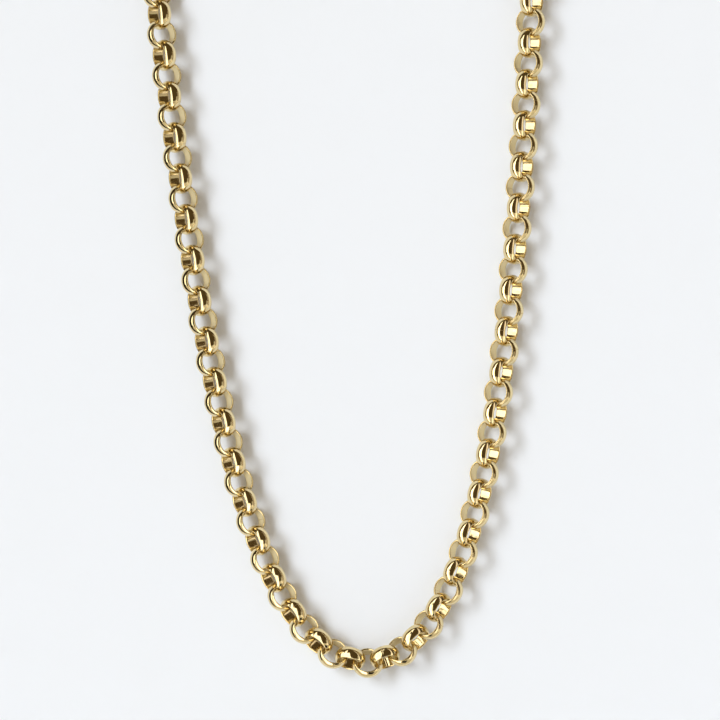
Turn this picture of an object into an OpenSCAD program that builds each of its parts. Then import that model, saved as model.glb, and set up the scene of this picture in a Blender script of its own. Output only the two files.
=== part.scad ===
// A rolo chain necklace that hangs in a narrow loop from the clasp at its top.
// Round links of half-round wire lie alternately open to the front and edge-on.
// X runs across the loop, Y from front to back and Z up. The origin is under
// the middle of the clasp, where the necklace bears on what it hangs from.

/* [Links] */
// Outside diameter of one round link
link_od = 6.0; // [5.4:0.1:7]
// Width of the band that the link is bent from, along the link's own axis
band_w = 2.4; // [1.8:0.1:2.6]
// Thickness of the band in the middle of its domed outer face
band_t = 0.72; // [0.5:0.02:0.8]
// Radius of the softened inner edges of the band
edge_r = 0.28; // [0.14:0.02:0.32]
// Clear gap between two links that pull on each other
link_gap = 0.11; // [0.1:0.01:0.2]

/* [Necklace] */
// Length of the whole necklace when it is laid out straight, clasp included, to
// the nearest number of links that keeps its two sides alike
necklace_length = 457; // [400:1:560]
// Radius of the curve at the lowest link, which sets how narrow the loop hangs
bottom_radius = 11.2; // [10:0.1:20]
// Turn of the chain about its own line, towards the front
chain_roll = 33; // [18:1:40]

/* [Clasp] */
// Diameter of the barrel of the clasp
barrel_d = 4.6; // [3.6:0.1:6]
// Length of the barrel without its two end rings
barrel_len = 9; // [6:0.5:14]
// Radius of the barrel's rounded ends
barrel_round = 1.1; // [0.4:0.1:1.6]
// Clear diameter inside each end ring
ring_hole = 3.4; // [3.2:0.1:4.4]
// Thickness of the round wire of an end ring
ring_wire = 1.1; // [0.8:0.1:1.5]

/* [Hidden] */
$fn = 64;
gold = [0.90, 0.76, 0.48];

// One link: the inner radius, and the circle that forms the domed outer face
link_ir = link_od / 2 - band_t;
dome_rise = band_t - edge_r;
dome_r = (pow(band_w / 2, 2) + pow(dome_rise, 2)) / (2 * dome_rise);
dome_x = link_od / 2 - dome_r;

// Two crossed links bear on each other at the softened inner edges of their
// bands. The middle of such an edge runs round the link on a circle of radius
// edge_ring_r, at edge_side from the link's middle plane. The circles of the
// two links come closest at bear_turn round each link, and bear_x apart along
// the chain. The range that holds the turn is halved until nothing is left of it.
edge_ring_r = link_ir + edge_r;
edge_side = band_w / 2 - edge_r;
function bear_x(turn) = (2 * edge_r + link_gap) / sqrt(1 + 2 * pow(tan(turn), 2));
function bear_over(turn) = edge_ring_r * sin(turn) - bear_x(turn) * tan(turn) - edge_side;
function bear_at(low, high) = let (mid = (low + high) / 2)
    mid <= low || mid >= high ? mid
    : bear_over(mid) > 0 ? bear_at(low, mid)
    : bear_at(mid, high);
bear_turn = bear_at(0, 90);
straight_pitch = 2 * edge_ring_r * cos(bear_turn) - bear_x(bear_turn);

// A link that the chain turns at leans against its neighbours, and they sit
// closer by the band's width times the sine of that lean
function pitch_at(turn) = straight_pitch - band_w * sin(turn) * sin(chain_roll);

// The end rings of the clasp, and how far the last link's centre is from one
ring_r = (ring_hole + ring_wire) / 2;
ring_x = barrel_len / 2 + ring_r;
ring_reach = link_ir + sqrt(pow(ring_hole / 2, 2) - pow(band_w / 2, 2)) - link_gap;

// The chain's line hangs as a catenary up to the arc length s on each side,
// where a round arch that continues its direction closes the loop
function hang_turn(s) = atan2(s, bottom_radius);
function hang_x(s) = bottom_radius * ln(s / bottom_radius + sqrt(pow(s / bottom_radius, 2) + 1));
function hang_z(s) = sqrt(pow(s, 2) + pow(bottom_radius, 2)) - bottom_radius;
function arch_r(s) = hang_x(s) / sin(hang_turn(s));
function half_loop(s) = s + arch_r(s) * (180 - hang_turn(s)) * PI / 180;

// Half the angle, in degrees, that the line turns by at a link which stands at
// arc length s, when the arch starts at arc length top
function turn_at(s, top) = let (
        bend_r = s < top ? (pow(s, 2) + pow(bottom_radius, 2)) / bottom_radius : arch_r(top)
    ) straight_pitch / bend_r * 180 / PI;

// Arc length from one open link to the next, which the sharper of the turns at
// the two sets
function open_step(s, top) =
    2 * pitch_at(max(turn_at(s, top), turn_at(s + 2 * straight_pitch, top)));

// Arc lengths of the open links, from the lowest link up one side
open_links = round((necklace_length - 2 * (ring_x + ring_reach)) / 4 / straight_pitch);
function open_places(top) = [
    for (i = 0, s = 0; i <= open_links; s = s + open_step(s, top), i = i + 1) s
];

// Arc length that the clasp and the links beside it take up, from the top down
function clasp_run(top) = let (
        r = arch_r(top),
        last_run = ring_reach + pitch_at(turn_at(top, top))
    ) r * (asin(ring_x / r) + 2 * asin(last_run / 2 / r)) * PI / 180;

// The arch starts where the links, the clasp and the loop come out equally
// long, which is between these two arc lengths
arch_least = necklace_length / 8;
arch_most = necklace_length / 2;
function spare(top) = open_places(top)[open_links] + clasp_run(top) - half_loop(top);
function arch_start(low, high) = let (mid = (low + high) / 2)
    mid <= low || mid >= high ? mid
    : spare(mid) > 0 ? arch_start(mid, high)
    : arch_start(low, mid);
arch_s = arch_start(arch_least, arch_most);
arch_turn = hang_turn(arch_s);
arch_top_r = arch_r(arch_s);
arch_mid_z = hang_z(arch_s) + arch_top_r * cos(arch_turn);

// Height of the clasp over the lowest link, and of the origin, which is the
// middle of the barrel's underside
ring_turn = asin(ring_x / arch_top_r);
clasp_z = arch_mid_z + arch_top_r * cos(ring_turn);
origin_z = clasp_z - barrel_d / 2;

// Place on the chain's line at arc length s, as [x, z], and the line's turn there
function line_turn(s) = s <= arch_s ? hang_turn(s)
    : arch_turn + (s - arch_s) / arch_top_r * 180 / PI;
function line_at(s) = s <= arch_s ? [hang_x(s), hang_z(s) - origin_z]
    : [arch_top_r * sin(line_turn(s)), arch_mid_z - arch_top_r * cos(line_turn(s)) - origin_z];

// Places of the open links up one side, and after them the centre of the
// clasp's end ring. An edge-on link stands between each of them and the next.
open_at = [for (s = open_places(arch_s)) line_at(s)];
ring_at = [ring_x, clasp_z - origin_z];
stops = concat(open_at, [ring_at]);
function heading(p, q) = atan2(q[1] - p[1], q[0] - p[0]);
function toward(p, q, d) = p + (q - p) / norm(q - p) * d;
// Centre of the edge-on link between two stops: halfway, or by the ring's reach
function edge_link_at(i) = i < open_links ? (stops[i] + stops[i + 1]) / 2
    : toward(ring_at, stops[i], ring_reach);
// An open link turns halfway between the headings of its two neighbours, which
// run on past 180 degrees where the arch comes down again
function full(angle) = angle < 0 ? angle + 360 : angle;
function open_turn(i) = i == 0 ? 0
    : (full(heading(stops[i - 1], stops[i])) + full(heading(stops[i], stops[i + 1]))) / 2;

// Section of the band: a flat inner face with softened edges, cut to a dome outside
module band_section() {
    intersection() {
        translate([dome_x, 0]) circle(r = dome_r);
        union() {
            translate([edge_ring_r, -band_w / 2]) square([band_t, band_w]);
            translate([link_ir, -edge_side]) square([2 * edge_r, 2 * edge_side]);
            for (side = [-1, 1]) {
                translate([edge_ring_r, side * edge_side]) circle(r = edge_r);
            }
        }
    }
}

// One round link about its own centre, with its axis along Z
module link() {
    rotate_extrude() band_section();
}

// Puts a child on the chain's line at a place [x, z], along a heading and rolled
module on_line(place, angle, roll) {
    translate([place[0], 0, place[1]]) rotate([0, -angle, 0]) rotate([roll, 0, 0]) children();
}

// One side of the chain, right of the lowest link
module side_links() {
    for (i = [1:open_links]) {
        on_line(stops[i], open_turn(i), 90 - chain_roll) link();
    }
    for (i = [0:open_links]) {
        on_line(edge_link_at(i), heading(stops[i], stops[i + 1]), -chain_roll) link();
    }
}

// The right half of the chain, from the lowest link's neighbour to the clasp
module chain_right() {
    color(gold) side_links();
}

// The left half of the chain, with the lowest link
module chain_left() {
    color(gold) {
        on_line(stops[0], 0, 90 - chain_roll) link();
        mirror([1, 0, 0]) side_links();
    }
}

// The clasp: a plain barrel with a ring on each end, as one piece
module clasp() {
    color(gold) on_line([0, clasp_z - origin_z], 180, 0) {
        rotate([0, 90, 0]) barrel();
        for (side = [-1, 1]) {
            translate([side * ring_x, 0, 0]) rotate([90 - chain_roll, 0, 0]) end_ring();
        }
    }
}

// The barrel about its own centre, along Z, with rounded ends
module barrel() {
    rotate_extrude() intersection() {
        translate([0, -barrel_len / 2]) square([barrel_d / 2, barrel_len]);
        union() {
            for (side = [-1, 1]) {
                translate([barrel_d / 2 - barrel_round, side * (barrel_len / 2 - barrel_round)]) {
                    circle(r = barrel_round);
                }
            }
            translate([0, barrel_round - barrel_len / 2]) {
                square([barrel_d / 2, barrel_len - 2 * barrel_round]);
            }
            translate([0, -barrel_len / 2]) square([barrel_d / 2 - barrel_round, barrel_len]);
        }
    }
}

// One end ring of round wire about its own centre, with its axis along Z
module end_ring() {
    rotate_extrude() translate([ring_r, 0]) circle(d = ring_wire);
}

chain_left();
chain_right();
clasp();
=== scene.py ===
# %% [markdown]
# A gold rolo chain necklace that hangs from its clasp, close in front of a pale wall.
# The solid model already fixes where every link is and how big it is. This script gives
# the links and the clasp their polished look, and lights them as jewellery is lit.
# Everything is in metres, with X across the loop, Y from front to back and Z up.

# %% Load the frame
import math
import bmesh
import bpy
import numpy as np
from mathutils import Matrix, Vector


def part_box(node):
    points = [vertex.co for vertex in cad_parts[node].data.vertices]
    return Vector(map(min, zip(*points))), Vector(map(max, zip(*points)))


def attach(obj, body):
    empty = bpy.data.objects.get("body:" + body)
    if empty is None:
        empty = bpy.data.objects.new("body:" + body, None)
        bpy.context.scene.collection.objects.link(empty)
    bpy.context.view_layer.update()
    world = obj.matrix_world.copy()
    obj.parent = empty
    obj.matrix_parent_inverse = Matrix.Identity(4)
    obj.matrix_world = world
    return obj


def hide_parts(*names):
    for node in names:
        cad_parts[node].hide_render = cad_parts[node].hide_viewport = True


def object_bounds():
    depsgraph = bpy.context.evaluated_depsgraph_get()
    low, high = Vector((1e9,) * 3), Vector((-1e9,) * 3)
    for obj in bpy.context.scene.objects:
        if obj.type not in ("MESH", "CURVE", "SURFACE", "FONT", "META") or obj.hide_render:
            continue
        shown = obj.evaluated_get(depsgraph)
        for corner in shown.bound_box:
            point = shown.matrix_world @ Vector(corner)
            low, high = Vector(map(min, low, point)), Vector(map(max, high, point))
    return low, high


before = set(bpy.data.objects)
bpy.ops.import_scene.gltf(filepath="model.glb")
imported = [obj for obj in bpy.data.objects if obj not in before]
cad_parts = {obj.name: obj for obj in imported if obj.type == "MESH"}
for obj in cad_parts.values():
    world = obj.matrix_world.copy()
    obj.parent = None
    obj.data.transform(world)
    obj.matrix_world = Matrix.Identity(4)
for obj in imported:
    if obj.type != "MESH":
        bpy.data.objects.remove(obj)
cad_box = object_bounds()
MM = 0.001
print("nodes:", sorted(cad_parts))
print("model, mm:", [round(side / MM, 2) for side in cad_box[1] - cad_box[0]])

# %% [markdown]
# The links are the only thing that repeats here, so their places are worth measuring once.
# The solid model holds each side of the chain as one mesh of loose triangles. A copy with
# its doubles merged falls apart into one island of faces for each link. We could retype the
# curve that the chain hangs in, but then two files would have to agree. Measuring the
# islands keeps the solid model in charge.

# %% Part a chain's mesh into its links
DOUBLES_WITHIN = 0.001 * MM


def islands_of(node_name):
    """Arrays of corner points, one for each separate solid of a node, as (triangles, 3, 3)."""
    copy = bmesh.new()
    copy.from_mesh(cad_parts[node_name].data)
    bmesh.ops.remove_doubles(copy, verts=copy.verts, dist=DOUBLES_WITHIN)
    bmesh.ops.triangulate(copy, faces=copy.faces)
    seen = set()
    found = []
    for first in copy.faces:
        if first in seen:
            continue
        seen.add(first)
        waiting = [first]
        corners = []
        while waiting:
            face = waiting.pop()
            corners.append([vert.co[:] for vert in face.verts])
            for edge in face.edges:
                for near in edge.link_faces:
                    if near not in seen:
                        seen.add(near)
                        waiting.append(near)
        found.append(np.array(corners))
    copy.free()
    return found


islands = {name: islands_of(name) for name in ("chain_left", "chain_right")}
print("links:", {name: len(found) for name, found in islands.items()})

# %% [markdown]
# A ring is widest across and thinnest along its own axis. So the axis is the direction in
# which the spread of the surface is least, and the spread matrix of all its triangles gives
# it. Weighting each triangle by its area keeps an uneven mesh from pulling the answer.

# %% Find each link's centre and axis
HEIGHT_DIGITS = 5       # heights in metres are compared to a hundredth of a millimetre


def centre_and_axis(corners):
    """The middle of a ring's surface, and the unit direction of its axis."""
    sides = corners[:, 1:] - corners[:, :1]
    areas = np.linalg.norm(np.cross(sides[:, 0], sides[:, 1]), axis=1) / 2
    centre = (areas[:, None] * corners.mean(1)).sum(0) / areas.sum()
    placed = corners - centre
    total = placed.sum(1)
    spread = np.einsum("t,tvi,tvj->ij", areas, placed, placed)
    spread += np.einsum("t,ti,tj->ij", areas, total, total)
    axis = np.linalg.eigh(spread)[1][:, 0]
    return centre, axis * (-1 if axis[1] < 0 else 1)


def places_of(found):
    """Centres and axes of a chain's links, from the lowest link to the highest."""
    places = [centre_and_axis(corners) for corners in found]
    return sorted(places, key=lambda place: (round(place[0][2], HEIGHT_DIGITS), place[0][0]))


places = {name: places_of(found) for name, found in islands.items()}
lowest_centre, lowest_axis = places["chain_left"][0]
print("lowest link's centre, mm:", np.round(lowest_centre / MM, 2))
print("its axis:", np.round(lowest_axis, 3))

# %% [markdown]
# The band that a rolo link is bent from is half-round wire. Its flat side lies inward, its
# domed side outward, and its inner edges are softened where the links bear on each other.
# The corners of a link's mesh lie on the true surface, so one link gives all the sizes of
# that section. Only its soft edge comes out a few hundredths of a millimetre small, because
# a corner just past the flat side still counts as on it. That is too little to see.

# %% Measure the band
FLAT_WITHIN = 0.01 * MM     # how far from the flat side a corner still counts as on it


def band_sizes(corners, centre, axis):
    """Outer radius, inner radius, width and edge radius of a link, in metres."""
    points = corners.reshape(-1, 3) - centre
    along = points @ axis
    radial = np.linalg.norm(points - along[:, None] * axis, axis=1)
    on_flat = radial < radial.min() + FLAT_WITHIN
    width = along.max() - along.min()
    edge = width / 2 - np.abs(along[on_flat]).max()
    return radial.max(), radial.min(), width, edge


sample = islands["chain_left"][0]
sizes = band_sizes(sample, *centre_and_axis(sample))
link_r, inner_r, band_w, edge_r = [float(size) for size in sizes]
print("outer radius, inner radius, width, edge, mm:", [round(float(size) / MM, 3) for size in sizes])

# %% [markdown]
# The camera comes next, because the finish is judged through it. The photograph shows the
# loop squarely and with hardly any perspective. So this camera looks straight along Y from
# half a metre, through a long lens. The loop leans to the left by two degrees in the
# photograph. Turning the camera shows that, and leaves the necklace hanging straight.

# %% Place the camera
VIEW_WIDTH = 138.5 * MM       # how much of the chain's plane the square picture spans
VIEW_DISTANCE = 520 * MM
VIEW_TARGET = Vector((0.5, 0, 58.3)) * MM    # the picture's middle, from the lowest link
VIEW_NEAREST = 10 * MM
LEAN = math.radians(1.95)
UPRIGHT = math.radians(90)    # a new camera looks straight down


def put_in_scene(name, data):
    """A new object in the scene for a mesh, a light or a camera."""
    thing = bpy.data.objects.new(name, data)
    bpy.context.scene.collection.objects.link(thing)
    return thing


camera = put_in_scene("camera", bpy.data.cameras.new("camera"))
target = Vector((0, 0, lowest_centre[2])) + VIEW_TARGET
camera.location = target - Vector((0, VIEW_DISTANCE, 0))
camera.rotation_euler = (Matrix.Rotation(LEAN, 3, "Y") @ Matrix.Rotation(UPRIGHT, 3, "X")).to_euler()
camera.data.sensor_fit = "HORIZONTAL"
camera.data.lens = camera.data.sensor_width * VIEW_DISTANCE / VIEW_WIDTH
camera.data.clip_start = VIEW_NEAREST
bpy.context.scene.camera = camera
print("lens, mm:", round(camera.data.lens, 1))

# %% [markdown]
# Now the outline of the band. It is a closed list of points in the plane that cuts the
# link: in round the lower edge, up the flat inner side, out round the upper edge and down
# the dome. A pair of points stands close to the ends of the flat side. They hold it flat,
# because smooth shading would otherwise bend the light over its whole width. Where the dome
# meets the edge the solid has a corner. Polishing rounds it on the real wire, and the thin
# lines of light along the links' rims come from it. So an arc takes the corner's place. It
# leaves the edge's own arc at a chosen turn and runs smoothly into the dome, and its radius
# follows.

# %% Draw the band's outline
EDGE_STEPS = 3
CORNER_STEPS = 5
DOME_STEPS = 8
FLAT_SHARE = 0.84       # where the supporting points stand on the flat side
POLISH_FROM = math.radians(140)    # where the polish starts, as the turn of the surface


def arc(middle, radius, start, end, steps):
    """Points along an arc in the section's plane, as (distance from the axis, height)."""
    turns = [start + (end - start) * step / steps for step in range(steps + 1)]
    return [(middle[0] + radius * math.cos(t), middle[1] + radius * math.sin(t)) for t in turns]


def band_outline():
    """The section of a link's band, clockwise, as (distance from the axis, height)."""
    edge = Vector((inner_r + edge_r, band_w / 2 - edge_r))
    rise = link_r - edge.x
    dome_r = ((band_w / 2) ** 2 + rise ** 2) / (2 * rise)
    dome = Vector((link_r - dome_r, 0))
    away = edge - dome
    start = Vector((math.cos(POLISH_FROM), math.sin(POLISH_FROM)))
    room = dome_r - edge_r
    # The corner's arc is this much smaller than the edge's, and touches the dome from inside
    less = (away.length_squared - room ** 2) / (2 * (room - away.dot(start)))
    corner = edge + less * start
    dome_end = math.atan2(corner.y, corner.x - dome.x)
    upper = arc(edge, edge_r, math.pi, POLISH_FROM, EDGE_STEPS)
    upper += arc(corner, edge_r - less, POLISH_FROM, dome_end, CORNER_STEPS)[1:]
    lower = [(x, -z) for x, z in reversed(upper)]
    flat = [(inner_r, -edge.y * FLAT_SHARE), (inner_r, edge.y * FLAT_SHARE)]
    return lower + flat + upper + arc(dome, dome_r, dome_end, -dome_end, DOME_STEPS)[1:-1]


outline = band_outline()
print("points in the outline:", len(outline))

# %% [markdown]
# Each link is cut from a coil of wire, closed and soldered, and the seam stays as a hair
# line across the band. The outline is swept round the axis in even steps. At the seam two
# more sections stand close on each side, and the one between them is drawn in by the depth
# of the line. An attribute marks it, so that the finish can dull the metal there.

# %% Sweep one link
ROUND_STEPS = 44
SEAM_W = 0.07 * MM
SEAM_DEPTH = 0.03 * MM
SEAM_GUARD = 0.2 * MM


def join_loops(made, loops, count):
    """Faces from that many sides of each loop of corners to the next loop, all the way round."""
    for this, after in zip(loops, loops[1:] + loops[:1]):
        for k in range(count):
            following = (k + 1) % len(this)
            made.faces.new((this[k], this[following], after[following], after[k]))


def seam_sections():
    """Angles round the link with the depth of the seam at each, as (angle, depth)."""
    even = [(2 * math.pi * step / ROUND_STEPS, 0) for step in range(1, ROUND_STEPS)]
    guards = [(side * gap / link_r, 0) for side in (-1, 1) for gap in (SEAM_W, SEAM_GUARD)]
    return sorted(even + guards + [(0, SEAM_DEPTH)])


def link_mesh():
    """One link about the origin, with its axis along Z."""
    made = bmesh.new()
    seam = made.verts.layers.float.new("seam")
    middle = (inner_r + link_r) / 2
    loops = []
    for angle, depth in seam_sections():
        loop = []
        for x, z in outline:
            size = math.hypot(x - middle, z)
            shrink = 1 - depth / size
            distance = middle + (x - middle) * shrink
            vert = made.verts.new((distance * math.cos(angle), distance * math.sin(angle), z * shrink))
            vert[seam] = 1.0 if depth else 0.0
            loop.append(vert)
        loops.append(loop)
    join_loops(made, loops, len(outline))
    bmesh.ops.recalc_face_normals(made, faces=made.faces)
    for face in made.faces:
        face.smooth = True
    mesh = bpy.data.meshes.new("link_pattern")
    made.to_mesh(mesh)
    made.free()
    return mesh


link_pattern = put_in_scene("link_pattern", link_mesh())
print("faces in a link:", len(link_pattern.data.polygons))

# %% [markdown]
# Polished gold plate is a mirror, so nearly all of its look is what it reflects. What the
# metal itself adds is small, and colour comes first. Plating is never quite even, so the
# gold drifts between two close colours in soft patches. A plain noise does that well enough
# that a painted map would add nothing. In the seam the solder is darker.

# %% Colour the gold
GOLD = (0.822, 0.676, 0.385, 1)
GOLD_WARM = (0.80, 0.641, 0.335, 1)
SEAM_GOLD = (0.42, 0.28, 0.11, 1)
PATCHES_PER_METRE = 350
MIX_FIRST, MIX_SECOND, MIX_RESULT = 6, 7, 2    # the colour sockets of a Mix node


def add_node(tree, kind, **values):
    """A node with its named settings and inputs set. A name of an input ends in _in."""
    node = tree.nodes.new(kind)
    for name, value in values.items():
        if name.endswith("_in"):
            node.inputs[name[:-3].replace("_", " ")].default_value = value
        else:
            setattr(node, name, value)
    return node


def gold_colour(tree, place, seam):
    """The socket of a gold that drifts in patches and is darker in the seam."""
    join = tree.links.new
    cloud = add_node(tree, "ShaderNodeTexNoise", Scale_in=PATCHES_PER_METRE, Detail_in=3)
    tint = add_node(tree, "ShaderNodeMix", data_type="RGBA")
    tint.inputs[MIX_FIRST].default_value = GOLD
    tint.inputs[MIX_SECOND].default_value = GOLD_WARM
    join(place, cloud.inputs["Vector"])
    join(cloud.outputs["Fac"], tint.inputs["Factor"])
    seamed = add_node(tree, "ShaderNodeMix", data_type="RGBA")
    seamed.inputs[MIX_SECOND].default_value = SEAM_GOLD
    join(seam, seamed.inputs["Factor"])
    join(tint.outputs[MIX_RESULT], seamed.inputs[MIX_FIRST])
    return seamed.outputs[MIX_RESULT]


print("gold:", GOLD[:3], "to", GOLD_WARM[:3])

# %% [markdown]
# Wear dulls a polished surface in patches that are too fine to see one by one. A fine noise
# moves the roughness between two low values, and the seam is rougher than either. Roughness
# blurs a reflection evenly, which a bump could only do with far more samples.

# %% Set how rough it is
WEAR_PER_METRE = 1800
WEAR_FROM = 0.35        # the noise's value where the wear starts to show
WEAR_FULL = 0.75        # and where it is at its most
ROUGH_LEAST = 0.07
ROUGH_MOST = 0.15
ROUGH_SEAM = 0.45


def gold_roughness(tree, place, seam):
    """The socket of a low roughness that rises with wear and in the seam."""
    join = tree.links.new
    wear = add_node(tree, "ShaderNodeTexNoise", Scale_in=WEAR_PER_METRE, Detail_in=5, Roughness_in=0.6)
    dull = add_node(tree, "ShaderNodeMapRange", From_Min_in=WEAR_FROM, From_Max_in=WEAR_FULL,
                    To_Min_in=ROUGH_LEAST, To_Max_in=ROUGH_MOST)
    rough = add_node(tree, "ShaderNodeMath", operation="MAXIMUM")
    seam_rough = add_node(tree, "ShaderNodeMath", operation="MULTIPLY")
    seam_rough.inputs[1].default_value = ROUGH_SEAM
    join(place, wear.inputs["Vector"])
    join(wear.outputs["Fac"], dull.inputs["Value"])
    join(seam, seam_rough.inputs[0])
    join(dull.outputs["Result"], rough.inputs[0])
    join(seam_rough.outputs["Value"], rough.inputs[1])
    return rough.outputs["Value"]


print("roughness:", ROUGH_LEAST, "to", ROUGH_MOST, "and in a seam", ROUGH_SEAM)

# %% [markdown]
# Rolling and polishing leave a slight wave in the metal, and wear leaves very fine scratches.
# The wave is a smooth bump about a band's width long. It bends the reflected lines, so that
# no two links look the same. The scratches are a much finer bump on top of it. Both are too
# shallow to change an outline, so neither needs to be in the mesh.

# %% Bend its reflections
SCRATCHES_PER_METRE = 16000
SCRATCH_DEPTH = 0.0012 * MM
SCRATCH_STRENGTH = 0.25


def gold_normal(tree, place, wave_size, wave_height):
    """The socket of a normal that a soft wave and fine scratches bend."""
    join = tree.links.new
    wave = add_node(tree, "ShaderNodeTexNoise", Scale_in=1 / wave_size, Detail_in=1)
    wave_bump = add_node(tree, "ShaderNodeBump", Strength_in=1, Distance_in=wave_height)
    scratch = add_node(tree, "ShaderNodeTexNoise", Scale_in=SCRATCHES_PER_METRE, Detail_in=4,
                       Roughness_in=0.7)
    scratch_bump = add_node(tree, "ShaderNodeBump", Strength_in=SCRATCH_STRENGTH,
                            Distance_in=SCRATCH_DEPTH)
    join(place, wave.inputs["Vector"])
    join(place, scratch.inputs["Vector"])
    join(wave.outputs["Fac"], wave_bump.inputs["Height"])
    join(scratch.outputs["Fac"], scratch_bump.inputs["Height"])
    join(wave_bump.outputs["Normal"], scratch_bump.inputs["Normal"])
    return scratch_bump.outputs["Normal"]


def polished_gold(name, wave_size, wave_height):
    """A polished gold finish, whose reflections bend with a wave of that size and height."""
    material = bpy.data.materials.new(name)
    material.use_nodes = True
    tree = material.node_tree
    shader = tree.nodes["Principled BSDF"]
    shader.inputs["Metallic"].default_value = 1
    place = tree.nodes.new("ShaderNodeTexCoord").outputs["Object"]
    seam = add_node(tree, "ShaderNodeAttribute", attribute_name="seam").outputs["Fac"]
    tree.links.new(gold_colour(tree, place, seam), shader.inputs["Base Color"])
    tree.links.new(gold_roughness(tree, place, seam), shader.inputs["Roughness"])
    tree.links.new(gold_normal(tree, place, wave_size, wave_height), shader.inputs["Normal"])
    return material


link_gold = polished_gold("link_gold", wave_size=2.2 * MM, wave_height=0.03 * MM)
clasp_gold = polished_gold("clasp_gold", wave_size=4 * MM, wave_height=0.03 * MM)
print("finishes:", [material.name for material in (link_gold, clasp_gold)])

# %% [markdown]
# Geometry Nodes hang the links. The tree gets one point for each link, with the link's axis
# as an attribute. First the turn of a copy: its Z goes onto the axis, and then it spins
# about its own axis by a random angle, since nobody lines up the seams. A tilt of a fraction
# of a degree keeps the row from looking stamped.

# %% Turn each copy onto its link's axis
LINK_TILT = math.radians(0.5)
RANDOM_LEAST, RANDOM_MOST, RANDOM_DRAWN = 2, 3, 1    # the number sockets of a Random Value node


def copy_turn(tree, given):
    """The socket of a copy's rotation, drawn for each point from the tree's inputs."""
    join = tree.links.new
    axis = add_node(tree, "GeometryNodeInputNamedAttribute", data_type="FLOAT_VECTOR", Name_in="axis")
    face = add_node(tree, "FunctionNodeAlignRotationToVector", axis="Z")
    join(axis.outputs["Attribute"], face.inputs["Vector"])

    lean = add_node(tree, "FunctionNodeRandomValue", data_type="FLOAT")
    against = add_node(tree, "ShaderNodeMath", operation="MULTIPLY")
    against.inputs[1].default_value = -1
    join(given.outputs["Largest tilt"], against.inputs[0])
    join(against.outputs["Value"], lean.inputs[RANDOM_LEAST])
    join(given.outputs["Largest tilt"], lean.inputs[RANDOM_MOST])
    join(given.outputs["Seed"], lean.inputs["Seed"])
    spin = add_node(tree, "FunctionNodeRandomValue", data_type="FLOAT")
    spin.inputs[RANDOM_LEAST].default_value = -math.pi
    spin.inputs[RANDOM_MOST].default_value = math.pi
    join(given.outputs["Seed"], spin.inputs["Seed"])

    turned = face
    for angle, about in ((spin, (0, 0, 1)), (lean, (1, 0, 0))):
        turn = add_node(tree, "FunctionNodeAxisAngleToRotation", Axis_in=about)
        both = add_node(tree, "FunctionNodeRotateRotation", rotation_space="LOCAL")
        join(angle.outputs[RANDOM_DRAWN], turn.inputs["Angle"])
        join(turned.outputs["Rotation"], both.inputs["Rotation"])
        join(turn.outputs["Rotation"], both.inputs["Rotate By"])
        turned = both
    return turned.outputs["Rotation"]


print("largest tilt, degrees:", round(math.degrees(LINK_TILT), 2))

# %% [markdown]
# The rest of the tree puts a copy of the link on every point. Realize Instances makes real
# faces of the copies, because an export drops instances. An array modifier could not follow
# two alternating directions. A loop that joins copies would do, but here the sizes stay open
# to change as named inputs.

# %% Build the tree that hangs links
TREE_INPUTS = (
    ("Places", "NodeSocketGeometry"),
    ("Link", "NodeSocketObject"),
    ("Largest tilt", "NodeSocketFloat"),
    ("Seed", "NodeSocketInt"),
    ("Finish", "NodeSocketMaterial"),
)


def link_tree():
    """The tree that hangs a link on every point, and its inputs' identifiers by name."""
    tree = bpy.data.node_groups.new("hang_links", "GeometryNodeTree")
    ids = {}
    for name, kind in TREE_INPUTS:
        ids[name] = tree.interface.new_socket(name, in_out="INPUT", socket_type=kind).identifier
    tree.interface.new_socket("Links", in_out="OUTPUT", socket_type="NodeSocketGeometry")
    given = tree.nodes.new("NodeGroupInput")
    result = tree.nodes.new("NodeGroupOutput")
    link = add_node(tree, "GeometryNodeObjectInfo", transform_space="ORIGINAL")
    copies = tree.nodes.new("GeometryNodeInstanceOnPoints")
    real = tree.nodes.new("GeometryNodeRealizeInstances")
    painted = tree.nodes.new("GeometryNodeSetMaterial")
    join = tree.links.new
    join(given.outputs["Link"], link.inputs["Object"])
    join(given.outputs["Places"], copies.inputs["Points"])
    join(link.outputs["Geometry"], copies.inputs["Instance"])
    join(copy_turn(tree, given), copies.inputs["Rotation"])
    join(copies.outputs["Instances"], real.inputs["Geometry"])
    join(real.outputs["Geometry"], painted.inputs["Geometry"])
    join(given.outputs["Finish"], painted.inputs["Material"])
    join(painted.outputs["Geometry"], result.inputs["Links"])
    return tree, ids


hang_links, link_inputs = link_tree()
print("inputs:", list(link_inputs))

# %% [markdown]
# Each half of the chain becomes one piece. The points go into a bare mesh with the axis as
# a vector attribute, and a modifier runs the tree on it. The evaluated result is then saved
# as a plain mesh, and the points and the modifier go.

# %% Hang the links
def hang(name, where, seed):
    """A chain piece with a link at each of the places."""
    points = bpy.data.meshes.new(name + "_places")
    points.from_pydata([centre for centre, axis in where], [], [])
    axes = points.attributes.new("axis", "FLOAT_VECTOR", "POINT")
    axes.data.foreach_set("vector", np.array([axis for centre, axis in where]).ravel())
    holder = put_in_scene(name + "_places", points)
    modifier = holder.modifiers.new("links", "NODES")
    modifier.node_group = hang_links
    modifier[link_inputs["Link"]] = link_pattern
    modifier[link_inputs["Largest tilt"]] = LINK_TILT
    modifier[link_inputs["Seed"]] = seed
    modifier[link_inputs["Finish"]] = link_gold
    seen = holder.evaluated_get(bpy.context.evaluated_depsgraph_get())
    chain = put_in_scene(name, bpy.data.meshes.new_from_object(seen))
    holder.modifiers.remove(modifier)
    bpy.data.objects.remove(holder)
    print(name, "links:", len(where), "faces:", len(chain.data.polygons))
    return chain


links_left = hang("links_left", places["chain_left"], seed=3)
links_right = hang("links_right", places["chain_right"], seed=8)
bpy.data.objects.remove(link_pattern)

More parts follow.
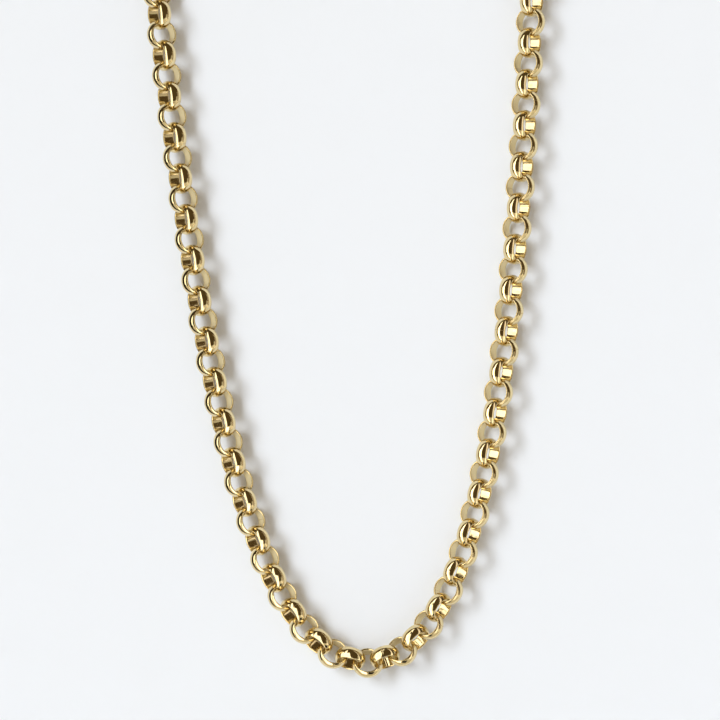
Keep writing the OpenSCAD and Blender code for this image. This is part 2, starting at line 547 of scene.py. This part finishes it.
# %% [markdown]
# The clasp is out of the photograph, so it stays plain: a barrel with a ring of round wire
# soldered to each end. The wire, the rings' holes and the barrel's rounding are the solid
# model's own sizes, and the rest follows from the box of the solid.

# %% Size the clasp
RING_WIRE = 1.1 * MM
RING_HOLE = 3.4 * MM
BARREL_ROUND = 1.1 * MM
clasp_low, clasp_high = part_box("clasp")
clasp_middle = (clasp_low + clasp_high) / 2
barrel_r = clasp_middle.z    # the origin is under the middle of the barrel
ring_r = (RING_HOLE + RING_WIRE) / 2
ring_reach = 2 * ring_r + RING_WIRE / 2
barrel_len = (clasp_high.x - clasp_low.x) - 2 * ring_reach
print("barrel, mm:", round(2 * barrel_r / MM, 2), "by", round(barrel_len / MM, 2))

# %% [markdown]
# The barrel has round shoulders. On its side and its ends a few more points stand close to
# them, and keep the smooth shading of the shoulders from spreading over the flat stretches.

# %% Draw the barrel's outline
SHOULDER_STEPS = 8
NEAR_SHOULDER = 0.94    # how far out the supporting points stand on a flat stretch
HALFWAY = 0.5


def barrel_outline():
    """Half the barrel's outline from one end to the other, as (radius, height)."""
    flat_r = barrel_r - BARREL_ROUND
    flat_z = barrel_len / 2 - BARREL_ROUND
    side = [(barrel_r, share * flat_z) for share in (0, HALFWAY, NEAR_SHOULDER)]
    shoulder = arc((flat_r, flat_z), BARREL_ROUND, 0, math.pi / 2, SHOULDER_STEPS)
    end = [(share * flat_r, barrel_len / 2) for share in (NEAR_SHOULDER, HALFWAY)]
    upper = side + shoulder + end
    return [(x, -z) for x, z in reversed(upper[1:])] + upper


barrel_section = barrel_outline()
print("points in the barrel's outline:", len(barrel_section))

# %% [markdown]
# Barrel and rings are both turned shapes, so one helper sweeps a section round an axis. A
# ring's section is a closed outline, like a link's. The barrel's section is half its
# outline, open towards the axis, and the helper closes its two ends with a flat face.

# %% Turn the barrel
BARREL_SIDES = 64


def swept(name, section, steps, turn, closed):
    """A piece swept round its axis from a section of (radius, height), then placed by a matrix."""
    made = bmesh.new()
    loops = []
    for step in range(steps):
        angle = 2 * math.pi * step / steps
        loops.append([made.verts.new((x * math.cos(angle), x * math.sin(angle), z)) for x, z in section])
    join_loops(made, loops, len(section) if closed else len(section) - 1)
    if not closed:
        for end in (0, -1):
            made.faces.new([loop[end] for loop in loops])
    bmesh.ops.recalc_face_normals(made, faces=made.faces)
    bmesh.ops.transform(made, matrix=turn, verts=made.verts)
    mesh = bpy.data.meshes.new(name)
    made.to_mesh(mesh)
    made.free()
    return put_in_scene(name, mesh)


barrel_turn = Matrix.Translation(clasp_middle) @ Matrix.Rotation(math.pi / 2, 4, "Y")
clasp = swept("clasp_barrel", barrel_section, BARREL_SIDES, barrel_turn, closed=False)
print("barrel faces:", len(clasp.data.polygons))

# %% [markdown]
# The rings are rolled by the same angle as the links are. A Boolean union makes barrel and
# rings one skin, as solder does, instead of three skins that pass through each other.

# %% Solder the rings on
RING_STEPS = 48
WIRE_SIDES = 20
ring_axis = Vector((0, abs(lowest_axis[1]), abs(lowest_axis[2]))).normalized()
ring_turn = ring_axis.to_track_quat("Z", "Y").to_matrix().to_4x4()
wire = arc((ring_r, 0), RING_WIRE / 2, 0, 2 * math.pi, WIRE_SIDES)[:-1]
for side in (-1, 1):
    ring_at = clasp_middle + Vector((side * (barrel_len / 2 + ring_r), 0, 0))
    ring = swept("clasp_ring", wire, RING_STEPS, Matrix.Translation(ring_at) @ ring_turn, closed=True)
    union = clasp.modifiers.new("solder", "BOOLEAN")
    union.operation = "UNION"
    union.solver = "EXACT"
    union.object = ring
    with bpy.context.temp_override(object=clasp):
        bpy.ops.object.modifier_apply(modifier=union.name)
    bpy.data.objects.remove(ring)
print("clasp faces:", len(clasp.data.polygons))

# %% [markdown]
# The union leaves a sharp line where a ring meets the barrel. Smooth shading everywhere but
# at such lines keeps the turned surfaces round and the joints crisp.

# %% Smooth the clasp and give it its gold
CREASE = math.radians(40)
clasp.data.materials.clear()
clasp.data.materials.append(clasp_gold)
clasp.data.polygons.foreach_set("material_index", [0] * len(clasp.data.polygons))
clasp.data.shade_smooth()
clasp.data.set_sharp_from_angle(angle=CREASE)
print("clasp finish:", clasp.data.materials[0].name)

# %% [markdown]
# The wall and the floor are not part of the necklace. The wall stands just behind the chain
# and takes its shadow. Its material lets a view from behind look through its back, as a
# photographer would take the wall away for that picture. The floor lies below the loop,
# just out of the picture.

# %% Put up the wall and the floor
WALL_GAP = 0.1 * MM
FLOOR_GAP = 14 * MM
STAGE_SIZE = 3.0
WALL_WHITE = (0.90, 0.905, 0.91, 1)


def stage_paint(name, see_through_back):
    """Matt pale paint. It can be clear on its back."""
    material = bpy.data.materials.new(name)
    material.use_nodes = True
    tree = material.node_tree
    shader = tree.nodes["Principled BSDF"]
    shader.inputs["Base Color"].default_value = WALL_WHITE
    shader.inputs["Roughness"].default_value = 1
    shader.inputs["Specular IOR Level"].default_value = 0
    if see_through_back:
        side = tree.nodes.new("ShaderNodeNewGeometry")
        clear = tree.nodes.new("ShaderNodeBsdfTransparent")
        pick = tree.nodes.new("ShaderNodeMixShader")
        tree.links.new(side.outputs["Backfacing"], pick.inputs["Fac"])
        tree.links.new(shader.outputs["BSDF"], pick.inputs[1])
        tree.links.new(clear.outputs["BSDF"], pick.inputs[2])
        tree.links.new(pick.outputs["Shader"], tree.nodes["Material Output"].inputs["Surface"])
    return material


def stage_plane(name, corners, material):
    """A flat stage piece with those corners."""
    mesh = bpy.data.meshes.new(name)
    mesh.from_pydata(corners, [], [range(len(corners))])
    mesh.materials.append(material)
    plane = put_in_scene(name, mesh)
    return plane


wall_y = cad_box[1].y + WALL_GAP
floor_z = cad_box[0].z - FLOOR_GAP
half = STAGE_SIZE / 2
stage_plane("wall", [(-half, wall_y, floor_z), (half, wall_y, floor_z),
                     (half, wall_y, floor_z + STAGE_SIZE), (-half, wall_y, floor_z + STAGE_SIZE)],
            stage_paint("wall_paint", see_through_back=True))
floor = stage_plane("floor", [(-half, -half, floor_z), (half, -half, floor_z),
                              (half, half, floor_z), (-half, half, floor_z)],
                    stage_paint("floor_paint", see_through_back=False))
floor.visible_glossy = False
print("wall at y, mm:", round(wall_y / MM, 1), "floor at z, mm:", round(floor_z / MM, 1))

# %% [markdown]
# Jewellery is lit for its reflections. A mirror-bright surface needs something bright to
# show its form and something dark beside it to show its edge. So the gold and the matt
# surfaces get lights of their own, and the dark of the room between the gold's lights draws
# the brown lines down the links. A softbox is set out from its one long edge, because where
# that edge stands decides where a line falls.

# %% Make a softbox
CHAIN_MIDDLE = (0, 0, -130)    # the middle of the part in view, in millimetres


def softbox(name, edge_top, edge_bottom, reach, brightness, colour, looks_at=CHAIN_MIDDLE):
    """A light that only the gold sees, from one long edge and the way it reaches from there."""
    top, bottom, reach, seen = [Vector(place) * MM for place in (edge_top, edge_bottom, reach, looks_at)]
    along = (top - bottom).normalized()
    reach = reach - reach.dot(along) * along
    middle = (top + bottom + reach) / 2
    across = reach.normalized()
    if across.cross(along).dot(middle - seen) < 0:
        across = -across    # a lamp shines away from its own Z, so Z has to point from the chain
    light = bpy.data.lights.new(name, "AREA")
    light.shape = "RECTANGLE"
    light.size = reach.length
    light.size_y = (top - bottom).length
    light.energy = brightness * math.pi * light.size * light.size_y
    light.color = colour
    box = put_in_scene(name, light)
    box.location = middle
    box.rotation_euler = Matrix((across, along, across.cross(along))).transposed().to_euler()
    box.visible_camera = False
    box.visible_diffuse = False
    return box


print("most softboxes face, mm:", CHAIN_MIDDLE)

# %% [markdown]
# A large softbox far to the left whitens the left flanks of the links, and two strips stand
# close in front. They lean inward with the two sides of the chain, so each link down a side
# sees the same thing. The card in the middle of the loop faces right, and only the right
# side sees it. A strip below it, to the left, whitens the foot of the loop. The cards at the
# side and below are dimmer and warmer. They keep the flanks that face them golden.

# %% Light the gold
FULL = 2.2      # brightness of the main lights, where a dim card has about a quarter of it
BRIGHT = (1.0, 0.985, 0.93)
WARM = (1.0, 0.97, 0.88)
PINK = (1.0, 0.93, 0.90)
RIGHT_MIDDLE = (30, 0, -90)
FOOT_MIDDLE = (0, 0, -190)

# Each row has the top and the bottom of the long edge and the reach from it, in millimetres,
# then the brightness, the colour, and what the light faces where that isn't the chain's middle
softboxes = [
    softbox("softbox_far", (-515, -300, 350), (-515, -300, -470), (-723, 0, 0), FULL, BRIGHT),
    softbox("strip_left", (-53, -86, 75), (-22.5, -32.8, -165), (-23, 0, 0), FULL, BRIGHT),
    softbox("strip_foot", (-6, -30, -166), (-6, -30, -262), (-44, 0, 0), FULL, BRIGHT, FOOT_MIDDLE),
    softbox("card_middle", (0, -44, -10), (0, -24, -165), (0, 12, 0), FULL, BRIGHT, RIGHT_MIDDLE),
    softbox("strip_right", (38.5, -28, -42), (21.5, -15, -205), (11, 0, 0), 1.1, PINK),
    softbox("card_side", (400, -64, 200), (400, -64, -500), (0, 60, 0), 0.67, WARM),
    softbox("card_low_right", (357, -300, -140), (357, -300, -600), (350, 0, 0), 0.5, WARM),
    softbox("card_below", (500, -345, -400), (-500, -345, -400), (0, 445, 0), 0.6, WARM),
]
print("lights on the gold:", [box.name for box in softboxes])

# %% [markdown]
# A light says where gold is bright, and a black card says where it is dark. One card stands
# close beside the left side of the chain and draws the dark line along its open links. A
# small one hangs below the foot of the loop, to the right.

# %% Hang two black cards
BLACK_PAINT = (0.02, 0.017, 0.012, 1)
black = bpy.data.materials.new("black_card")
black.use_nodes = True
black.node_tree.nodes["Principled BSDF"].inputs["Base Color"].default_value = BLACK_PAINT
black.node_tree.nodes["Principled BSDF"].inputs["Roughness"].default_value = 1


def black_card(name, first, second, reach):
    """A dark card that only the gold sees, from two corners in mm and the way it reaches."""
    first, second, reach = [Vector(place) * MM for place in (first, second, reach)]
    card = stage_plane(name, [first, second, second + reach, first + reach], black)
    for ray in ("camera", "diffuse", "shadow", "transmission"):
        setattr(card, "visible_" + ray, False)
    return card


black_cards = [
    black_card("black_left", (-56, 3, -20), (-30, 3, -200), (0, -6.7, 0)),
    black_card("black_foot", (2.8, -23.2, -205.2), (17.6, -15, -205.2), (-4.5, 8.2, -11.2)),
]
print("black cards:", [card.name for card in black_cards])

# %% [markdown]
# The wall gets a tall soft lamp from the left. A distant lamp keeps the wall even, and a sun
# is such a lamp, but its disc is as wide as it is high. So three suns stand one above the
# other. Their shadows run together along the chain and stay crisper across it, as they do
# in the photograph. The suns are slightly cool and the room is warm. Where both fall the
# wall is white, and where the chain blocks the suns the shadow turns brown.

# %% Light the wall
KEY_SIDE = Vector((-0.64, -0.77, 0))
KEY_RISES = (0.12, 0.32, 0.54)
KEY_STRENGTH = 0.98
KEY_COLOUR = (0.743, 0.822, 0.925)
KEY_SPREAD = math.radians(22)
for rise in KEY_RISES:
    key = bpy.data.lights.new("wall_key", "SUN")
    key.energy = KEY_STRENGTH
    key.color = KEY_COLOUR
    key.angle = KEY_SPREAD
    key_lamp = put_in_scene("wall_key", key)
    key_from = KEY_SIDE + Vector((0, 0, rise))
    key_lamp.rotation_euler = key_from.to_track_quat("Z", "Y").to_euler()
    key_lamp.visible_glossy = False
print("suns:", len(KEY_RISES))

# %% [markdown]
# The world is the rest of the room. A view that misses the stage sees a pale surround. The
# matt surfaces get their soft warm fill from it. The gold sees a dark warm room instead,
# because a mirror in a white tent looks flat. The colours are shown as they are, without a
# film curve, so the whites stay white.

# %% Set the room
ROOM_PALE = (0.93, 0.945, 0.96, 1)
ROOM_FILL = (0.34, 0.274, 0.184, 1)
ROOM_DARK = (0.085, 0.058, 0.026, 1)

world = bpy.data.worlds.new("room")
bpy.context.scene.world = world
world.use_nodes = True
room = world.node_tree
room.nodes.clear()
ray = room.nodes.new("ShaderNodeLightPath")
seen_so_far = add_node(room, "ShaderNodeBackground", Color_in=ROOM_FILL).outputs["Background"]
for ray_kind, room_colour in (("Is Camera Ray", ROOM_PALE), ("Is Glossy Ray", ROOM_DARK)):
    shown = add_node(room, "ShaderNodeBackground", Color_in=room_colour)
    pick = room.nodes.new("ShaderNodeMixShader")
    room.links.new(ray.outputs[ray_kind], pick.inputs["Fac"])
    room.links.new(seen_so_far, pick.inputs[1])
    room.links.new(shown.outputs["Background"], pick.inputs[2])
    seen_so_far = pick.outputs["Shader"]
room.links.new(seen_so_far, room.nodes.new("ShaderNodeOutputWorld").inputs["Surface"])
bpy.context.scene.view_settings.view_transform = "Standard"
bpy.context.scene.view_settings.look = "None"
print("room's nodes:", len(room.nodes))

# %% [markdown]
# Last, each piece rides on a body, and the solid it stands for is hidden. The necklace has
# one body.

for piece, node_name, slot_name in ((links_left, "chain_left", "gold_links"),
                                    (links_right, "chain_right", "gold_links"),
                                    (clasp, "clasp", "gold_clasp")):
    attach(piece, "root")
    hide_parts(node_name)
    print(piece.name, "stands for", node_name)
